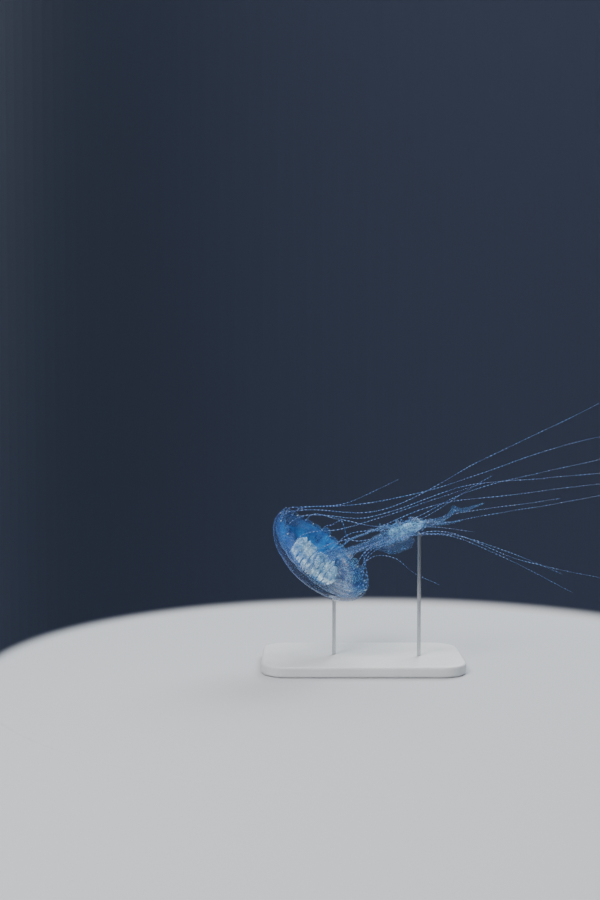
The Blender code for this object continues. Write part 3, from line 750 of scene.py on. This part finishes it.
def build_gonad(index):
    """A gonad: a tall ribbon bent in a horseshoe round its place, pleated more towards its free edge.

    Its line is the arc (ring + length cos t, width sin t). Each ring is an upright oval whose
    centre swings sideways with a fast sine that grows downwards, and whose width pulses.
    """
    bearing = TURN * (index + 0.5) / GONADS
    rows, columns = 260, 36
    along = np.linspace(-GONAD_ARC, GONAD_ARC, rows)[:, None]
    turn = full_turn(columns)[None, :]
    drop = (1 - np.sin(turn)) / 2
    pleat = np.sin(along * WIDE_PLEATS + index) + 0.5 * np.sin(along * FINE_PLEATS + 2 * index)
    swing = PLEAT_SWING * pleat * (0.25 + 0.9 * drop)
    taper = np.sqrt(np.clip(1 - (np.abs(along) / 2.56) ** 6, 0.02, 1))
    pulse = 1 + 0.20 * np.cos(along * 22.0 + 3 * turn + index) + 0.12 * np.cos(5 * turn - along * 13)
    grain = np.sin(3 * turn + along * 31) * np.sin(along * 47 - 5 * turn + index)
    off = (GONAD_HALF_THICK * pulse + 0.22 * MM * grain) * np.cos(turn) * taper + swing
    side_x, side_y = np.cos(along), np.sin(along)
    x = GONAD_RING + (GONAD_LENGTH + off) * side_x
    y = (GONAD_WIDTH + off) * side_y
    radius, around = np.hypot(x, y), bearing + np.arctan2(y, x)
    depth = 0.86 + 0.08 * np.sin(along * 7 + index) + 0.05 * pleat
    depth = GONAD_DEPTH * depth * (0.72 + 0.28 * taper)
    height = hollow_height(radius) - ROOF_GAP - depth * drop
    points = on_bell(radius, around, height)
    crest = 0.5 + 0.5 * (pulse - 1) / 0.32 + 0.25 * np.cos(turn) * pleat + 0.12 * grain
    values = {"crest": [np.clip(crest, 0, 1)], "hung": [drop + 0 * along]}
    piece = add_skin(f"gonad_folds_{index + 1}", [points], values)
    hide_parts(f"gonad_{index + 1}")
    return piece


def build_filaments():
    """Gastric filaments: fine threads that curl from the roof among the gonads towards the mouth tube.

    Each is a tube round a line whose radius swings in, whose angle drifts as a sine and whose drop
    grows as its share of the length to the power 0.8. Even random numbers place the threads.
    """
    rings, sides = 14, 5
    start_radius = (8.0 + 15.0 * scatter(FILAMENTS, 41))[:, None] * MM
    start_around = (TURN * scatter(FILAMENTS, 42))[:, None]
    swing = (scatter(FILAMENTS, 43) - 0.5)[:, None]
    fall = (6.0 + 7.5 * scatter(FILAMENTS, 44))[:, None] * MM
    t = np.linspace(0, 1, rings)[None, :]
    radius = start_radius + 5.0 * MM * swing * np.sin(2.4 * t + 6 * swing) - 2.0 * MM * t
    around = start_around + (0.9 * swing * t + 0.10 * np.sin(7 * t + 20 * swing)) * (12 * MM / start_radius)
    height = hollow_height(radius) - ROOF_GAP - fall * t**0.8
    line = on_bell(radius, around, height)
    thick = (0.24 - 0.15 * t) * MM
    piece = add_skin("gastric_filaments", list(tube_rings(line, bell_axes()[0], thick, sides)))
    return piece


def bundle_frame(share):
    """Place, heading, frontward and upward directions of the oral arms' shared line, a cubic curve."""
    t = np.asarray(share, float)[..., None]

    def curve(t):
        """The cubic curve's place at a share."""
        a, b, c, d = BUNDLE_LINE
        return a * (1 - t) ** 3 + 3 * b * t * (1 - t) ** 2 + 3 * c * t**2 * (1 - t) + d * t**3

    ahead = unit(curve(t + 0.001) - curve(t - 0.001))
    up = unit(np.array((0.0, 0.0, 1.0)) - ahead * ahead[..., 2:3])
    return curve(t) + BELL_CENTRE, ahead, np.cross(ahead, up), up


def build_manubrium():
    """The mouth tube: four-cornered rings from the hollow's roof to the arms, narrowing, softly pleated."""
    rows, columns = 90, 96
    share = np.linspace(0, 1, rows)[:, None]
    turn = full_turn(columns)[None, :]
    axes = bell_axes()
    start = BELL_CENTRE + axes[2] * (HOLLOW_HEIGHT - ROOF_GAP)
    end, ahead, _, _ = bundle_frame(0.05)
    middle = start + (end - start) * share
    heading = unit(-axes[2] * (1 - share**2) + ahead * share**2)
    across = unit(axes[0] - heading * (heading @ axes[0])[:, None])
    other = np.cross(heading, across)
    size = 9.2 * MM - 3.9 * MM * smooth(share, 0.0, 0.8)
    size = size * np.sqrt(np.clip(1 - ((share - 0.86) / 0.14).clip(0, 1) ** 2, 0.01, 1))
    size = size * (1 + 0.13 * np.cos(4 * turn) + 0.05 * np.sin(24 * turn + 9 * share) * (0.3 + share))
    points = middle[:, None] + across[:, None] * (size * np.cos(turn))[..., None]
    points = points - other[:, None] * (size * np.sin(turn))[..., None]
    edge = np.clip(0.35 + 0.4 * np.cos(4 * turn) + 0.2 * np.sin(24 * turn), 0, 1)
    values = {"edge": [edge + 0 * share], "frill": [0.5 + 0 * share * turn]}
    piece = add_skin("mouth_tube", [points], values)
    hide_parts("manubrium")
    return piece


# ---- oral arms


def arm_layout(name, share):
    """Place of an arm's ribbon, its two directions, its half width and its frill, over the bundle's share.

    The upper arm's tail and the lower arm's lobe are turned on edge, and the upper arm's tail
    dips and flares.
    """
    bearing, end = ORAL_ARMS[name]
    place, _, front, up = bundle_frame(share)
    angle = math.radians(bearing)
    outward = front * math.cos(angle) + up * math.sin(angle)
    across = -front * math.sin(angle) + up * math.cos(angle)
    frill = smooth(share, FRILL_START, FRILL_FULL) - smooth(share, FRILL_FADE, FRILL_END)
    spread = ARM_SPREAD + (FRILL_SPREAD - ARM_SPREAD) * frill
    half = ARM_HALF_WIDTH + (FRILL_HALF_WIDTH - ARM_HALF_WIDTH) * frill
    turn, shift = 0 * share, 0 * share
    if name == "upper":
        spread = spread + UPPER_LIFT * (smooth(share, 0.16, 0.32) - smooth(share, 0.38, 0.56))
        spread = spread * (1 - smooth(share, FRILL_FADE, 0.78))
        flare = np.exp(-(((share - FLARE_PLACE) / FLARE_REACH) ** 2))
        dip = np.exp(-(((share - DIP_PLACE) / DIP_REACH) ** 2))
        tail = smooth(share, 0.70, 0.80)
        half = half * (1 - 0.30 * tail) * (1 + 0.8 * flare**2)
        shift = FLARE_RISE * flare - TAIL_DIP * dip
        turn = TAIL_TURN * tail
    if name == "lower":
        turn = LOBE_TURN * smooth(share, 0.36, 0.46)
        spread = spread + LOBE_SPREAD * smooth(share, 0.38, 0.50)
        half = half * (0.45 + 0.70 * smooth(share, 0.43, 0.51))
    if name == "back":
        shift = -BACK_DROP * smooth(share, 0.66, end)
        spread = spread * (1 - 0.8 * smooth(share, FRILL_FADE, end))
        half = half * (1 - 0.35 * smooth(share, 0.68, 0.76))
    fading = 0.035 if name == "lower" else 0.10
    half = half * (0.25 + 0.75 * smooth(end - share, 0.0, fading))
    centre = place + outward * spread[..., None] + up * shift[..., None]
    wide = across * np.cos(turn)[..., None] + outward * np.sin(turn)[..., None]
    out = outward * np.cos(turn)[..., None] - across * np.sin(turn)[..., None]
    return centre, wide, out, half, frill


def arm_point(name, share, side, face, phase):
    """Places on an arm: side runs -1 to 1 across the ribbon, face is 1 on its outer skin and -1 on its inner.

    The ribbon is a shallow V. Waves of three lengths run along it and grow with side to the power
    1.4, and the skin is thick at the keel and thin at the edge.
    """
    centre, wide, out, half, frill = arm_layout(name, share)
    run = TURN * (share * ARM_WAVES_OVER)
    edge, hand = np.abs(side), np.sign(side)
    slow = np.sin(run / SLOW_WAVE + phase + 1.1 * hand)
    quick = np.sin(run / QUICK_WAVE + 2.3 * phase + 2.0 * hand + 1.1 * slow)
    quick = quick * (0.6 + 0.4 * np.sin(run / BEAT_WAVE + 5 * phase))
    tiny = np.sin(run / TINY_WAVE + phase * 3.1 + 2 * side + slow)
    wave = (0.50 * slow + 0.42 * quick + 0.09 * tiny) * edge**1.4
    wave = wave * (0.5 + 0.35 * frill) * half * ARM_RUFFLE[name]
    ragged = 1 + (0.10 * quick + 0.09 * tiny * ARM_RUFFLE[name]) * edge**3
    thick = (EDGE_THICKNESS + KEEL_THICKNESS * np.exp(-((edge / KEEL_WIDTH) ** 2))) * MM
    lift = 0.45 * half * edge**1.3 + wave + face * thick / 2
    return centre + wide * (half * side * ragged)[..., None] + out * lift[..., None]


def milkiness(name, share, points):
    """How white an arm is: a step up and down along it, times a bell curve of the height over the line."""
    place, _, _, up = bundle_frame(share)
    rise = np.sum((points - place) * up, axis=-1)
    core = np.exp(-(((rise - CORE_RISE) / CORE_REACH) ** 2))
    return (smooth(share, 0.47, 0.56) - smooth(share, 0.65, 0.76)) * core * ARM_MILKINESS[name]


def build_arm(order, name):
    """An oral arm as one closed ribbon: across the outer skin, round the edge and back on the inner."""
    end = ORAL_ARMS[name][1]
    share = np.linspace(0.0, end, ARM_STATIONS)[:, None]
    turn = full_turn(ARM_COLUMNS)[None, :]
    side = -np.cos(turn) + 0 * share
    face = np.sin(turn) + 0 * share
    share = share + 0 * turn
    points = arm_point(name, share, side, face, ARM_PHASE * order)
    values = {"edge": [np.abs(side)], "frill": [milkiness(name, share, points)]}
    piece = add_skin(f"oral_arm_{name}", [points], values)
    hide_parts(*(f"oral_arm_{name}_{k}" for k in (1, 2, 3)))
    return piece


def build_fringe():
    """Granules of the oral arms: little buds over both faces of each ribbon, crowding to edges and frill."""
    places, ups, widths, heights, milks = [], [], [], [], []
    for order, (name, (_, end)) in enumerate(ORAL_ARMS.items()):
        count = int(GRANULES * (0.12 if name == "lower" else end))
        phase = ARM_PHASE * order
        spread = (np.arange(count) + scatter(count, order + 5)) / count
        share = 0.03 + (end - 0.04) * spread
        pull = (scatter(count, order + 30) < 0.45) * 0.16 * np.sin((share - 0.55) * 9)
        share = np.clip(share - pull * smooth(share, 0.2, 0.4), 0.03, end - 0.01)
        side = np.sign(scatter(count, order + 9) - 0.5) * scatter(count, order + 11) ** 0.45
        face = np.sign(scatter(count, order + 12) - 0.5)
        foot = arm_point(name, share, side, face, phase)
        inside = arm_point(name, share, side * 0.85, 0 * face, phase)
        frill = arm_layout(name, share)[4]
        along = bundle_frame(share)[1]
        lean = np.where(np.abs(side)[:, None] > 0.9, 1.0, 0.4)
        direction = unit(foot - inside) * lean + along * (scatter(count, order + 13)[:, None] - 0.3)
        direction = direction + (arm_point(name, share, side, 2 * face, phase) - foot) / MM
        milks.append(np.clip(milkiness(name, share, foot) + 0.2 * scatter(count, order + 23), 0, 1))
        places.append(foot)
        ups.append(direction)
        widths.append((0.12 + 0.16 * scatter(count, order + 17)) * (0.8 + 0.5 * frill) * MM)
        heights.append((0.16 + 0.60 * scatter(count, order + 21) ** 3) * (0.8 + 0.9 * frill) * MM)
    joined = [np.concatenate(parts) for parts in (places, ups, widths, heights)]
    piece = add_buds("arm_granules", *joined, sides=5, values={"milky": np.concatenate(milks)})
    return piece


# ---- tentacles


def smooth_line(points, count):
    """A smooth cubic curve through points, as count places evenly spaced along it, with the length so far."""
    points = np.array(points)
    knots = np.concatenate([[0.0], np.cumsum(np.linalg.norm(np.diff(points, axis=0), axis=1))])
    slopes = np.gradient(points, knots, axis=0)
    at = np.linspace(0.0, knots[-1], 4 * count)
    piece = np.clip(np.searchsorted(knots, at, side="right") - 1, 0, len(knots) - 2)
    gap = (knots[piece + 1] - knots[piece])[:, None]
    t = (at[:, None] - knots[piece][:, None]) / gap
    start = (1 + 2 * t) * (1 - t) ** 2 * points[piece] + t * (1 - t) ** 2 * gap * slopes[piece]
    end = t**2 * (3 - 2 * t) * points[piece + 1] + t**2 * (t - 1) * gap * slopes[piece + 1]
    line = start + end
    travelled = np.concatenate([[0.0], np.cumsum(np.linalg.norm(np.diff(line, axis=0), axis=1))])
    even = np.linspace(0.0, travelled[-1], count)
    return np.stack([np.interp(even, travelled, line[:, k]) for k in range(points.shape[1])], axis=1), even


def tentacle_route(index):
    """The line of a tentacle, from inside its cleft to its tip, with the length so far."""
    around = TURN * (index + 0.5) / len(TENTACLES)
    root_radius = BELL_RADIUS - MARGIN_THICKNESS - TENTACLE_ROOT_RADIUS - 0.6 * MM
    root = on_bell(root_radius, around, -CLEFT_LENGTH / 2)
    stem = root - bell_axes()[2] * ROOT_STEM
    depth, places = TENTACLES[index]
    passed = [(BELL_CENTRE[0] + along * MM, BELL_CENTRE[2] + up * MM) for along, up in places]
    flat, travelled = smooth_line([(root[0], root[2]), (stem[0], stem[2]), *passed], TENTACLE_RINGS)
    settled = smooth(travelled, 0.0, DRIFT_LENGTH)
    wave = TURN * travelled / (SWAY_LENGTH * (1 + 0.25 * math.sin(1.9 * index)))
    sway = TENTACLE_SWAY * settled * (np.sin(wave + 2.4 * index) + 0.4 * np.sin(2.3 * wave + index))
    across = root[1] + (depth * MM - root[1]) * settled + sway
    return np.stack([flat[:, 0], across, flat[:, 1]], axis=1), travelled


def tentacle_tube(index):
    """A tentacle's rings, beads and share of its length.

    The radius tapers, swells at the root and at each bead, and closes round at the tip.
    """
    line, travelled = tentacle_route(index)
    total = travelled[-1]
    phase = TURN * travelled / BEAD_LENGTH + 2.2 * np.sin(travelled / (9 * MM) + index)
    drift = 2 * np.sin(travelled / (17 * MM))
    strength = 0.45 + 0.55 * np.sin(travelled / (5.3 * MM) + drift + 3 * index) ** 2
    bead = (0.5 + 0.5 * np.sin(phase)) ** 1.5 * strength
    share = travelled / total
    radius = TENTACLE_ROOT_RADIUS + (TENTACLE_TIP_RADIUS - TENTACLE_ROOT_RADIUS) * share**0.7
    root_swell = 0.55 * np.exp(-travelled / (2.2 * MM))
    past = ((travelled - total + TIP_ROUNDING) / TIP_ROUNDING).clip(0, 1)
    closed = np.sqrt(np.clip(1 - past**2, 0.01, 1))
    radius = radius * (0.54 + 0.26 * bead + root_swell) * closed
    rings = tube_rings(line, (0.0, 1.0, 0.0), radius, TENTACLE_SIDES)
    return rings, bead[:, None], share[:, None]


def build_tentacles():
    """All the tentacles as one mesh of beaded tubes."""
    made = [tentacle_tube(index) for index in range(len(TENTACLES))]
    rings, beads, shares = zip(*made)
    piece = add_skin("tentacles", rings, {"bead": beads, "share": shares})
    nodes = [f"tentacle_{k + 1:02d}_{part}" for k in range(len(TENTACLES)) for part in ("root", "tip")]
    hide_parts(*nodes)
    return piece


# ---- studio and camera


def build_camera():
    """The camera: in front of the animal, dipped a little, the middle of its frame above the bell."""
    data = bpy.data.cameras.new("camera")
    data.lens = CAMERA_LENS
    data.clip_start, data.clip_end = 0.01, 20.0
    made = new_object("camera", data)
    back = np.array((0.0, -math.cos(CAMERA_DIP), math.sin(CAMERA_DIP)))
    made.location = Vector(CAMERA_AIM + back * CAMERA_DISTANCE)
    made.rotation_euler = (math.pi / 2 - CAMERA_DIP, 0.0, 0.0)
    bpy.context.scene.camera = made


def build_studio():
    """A wide pale floor, and a darker round wall rising from it that only shows from inside."""
    turn = full_turn(128)
    bend = np.linspace(0, math.pi / 2, 24)
    wall_radius = np.concatenate([STAGE_FLAT + STAGE_BEND * np.sin(bend), [STAGE_FLAT + STAGE_BEND]])
    wall_height = np.concatenate([STAGE_BEND * (1 - np.cos(bend)), [STAGE_HEIGHT]])
    floor_radius = np.array((0.01, STAGE_FLAT, 3.0))
    shapes = (
        ("studio_floor", floor_radius, 0 * floor_radius - 0.2 * MM),
        ("studio_wall", wall_radius, wall_height),
    )
    for name, radius, height in shapes:
        x = STAGE_MIDDLE[0] + radius[:, None] * np.cos(turn)
        y = STAGE_MIDDLE[1] + radius[:, None] * np.sin(turn)
        flat = np.stack([x, y, height[:, None] + 0 * turn], axis=-1)
        quads, fans = tube_faces(len(radius), len(turn))
        points = np.concatenate([flat.reshape(-1, 3), [flat[0].mean(axis=0)], [flat[-1].mean(axis=0)]])
        faces = quads[:, ::-1].tolist()
        if name == "studio_floor":
            faces += fans[: len(turn), ::-1].tolist()
        piece = make_mesh(name, points, faces)
        piece.data.shade_flat()
        piece.data.materials.append(studio_material(name))


def studio_material(name):
    """Matt studio paint, pale floor and slate wall, the wall clear from behind and to soft light."""
    made, tree, shader = new_material(name, Roughness=0.95, Specular_IOR_Level=0.1)
    if name == "studio_floor":
        shader.inputs["Base Color"].default_value = STAGE_PALE
        return made
    rise = add_node(tree, "ShaderNodeSeparateXYZ", {0: object_place(tree)}).outputs["Z"]
    feed(shader, Base_Color=blend_colour(ramp(rise, 0.002, 0.011), STAGE_PALE, STAGE_SLATE))
    clear = tree.nodes.new("ShaderNodeBsdfTransparent")
    behind = tree.nodes.new("ShaderNodeNewGeometry").outputs["Backfacing"]
    ray = tree.nodes.new("ShaderNodeLightPath").outputs
    soft = larger(ray["Is Shadow Ray"], ray["Is Diffuse Ray"])
    mixed = add_node(tree, "ShaderNodeMixShader", {0: larger(behind, soft)})
    tree.links.new(shader.outputs[0], mixed.inputs[1])
    tree.links.new(clear.outputs[0], mixed.inputs[2])
    tree.links.new(mixed.outputs[0], tree.nodes["Material Output"].inputs["Surface"])
    return made


def add_light(name, place, size, power, colour):
    """A square soft light aimed at the animal."""
    data = bpy.data.lights.new(name, "AREA")
    data.size = size
    data.energy = power
    data.color = colour
    made = new_object(name, data)
    made.location = place
    made.rotation_euler = (LIGHT_AIM - made.location).to_track_quat("-Z", "Y").to_euler()


def build_lights():
    """A soft key from the upper front, a wide back light that glows through the jelly, and a gentle sky."""
    add_light("key", Vector((-0.8, -1.1, 1.4)), 0.7, 32.0, (1.0, 0.98, 0.95))
    add_light("back", Vector((0.6, 1.2, 1.3)), 0.9, 34.0, (0.88, 0.95, 1.0))
    add_light("top", Vector((0.0, -0.1, 1.7)), 1.0, 12.0, (1.0, 1.0, 1.0))
    world = bpy.data.worlds.new("sky")
    world.use_nodes = True
    sky = world.node_tree.nodes["Background"].inputs
    sky["Color"].default_value = (0.72, 0.80, 0.92, 1)
    sky["Strength"].default_value = 0.35
    bpy.context.scene.world = world


def finish_with(piece, material):
    """Gives a piece its finish and hangs it on the animal's one body."""
    piece.data.materials.append(material)
    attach(piece, "root")


def main():
    """Builds the studio and every piece, and gives the stand's nodes their finish."""
    build_camera()
    build_studio()
    build_lights()
    speckles, mottle = speckle_group(), mottle_group()
    tissue = gonad_material(mottle)
    frill = arm_material(speckles, mottle)
    finish_with(build_bell(), bell_material(speckles, mottle))
    finish_with(build_warts(), bud_material("wart", WART_DEEP, WART_PALE, mottle, 0.7))
    finish_with(build_rhopalia(), bud_material("rhopalium", SENSE_DEEP, SENSE_PALE, mottle, 0.9))
    for index in range(GONADS):
        finish_with(build_gonad(index), tissue)
    finish_with(build_filaments(), bud_material("filament", FILAMENT_DEEP, FILAMENT_PALE, mottle, 1.0))
    finish_with(build_manubrium(), frill)
    for order, name in enumerate(ORAL_ARMS):
        finish_with(build_arm(order, name), frill)
    granules = bud_material("granule", GRANULE_DEEP, GRANULE_PALE, mottle, milk=GRANULE_WHITE)
    finish_with(build_fringe(), granules)
    finish_with(build_tentacles(), tentacle_material(mottle))
    paint, steel = stand_paint(mottle), stand_steel()
    for node, material in (("stand_base", paint), ("stand_rod_bell", steel), ("stand_rod_arms", steel)):
        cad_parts[node].material_slots[0].material = material


main()
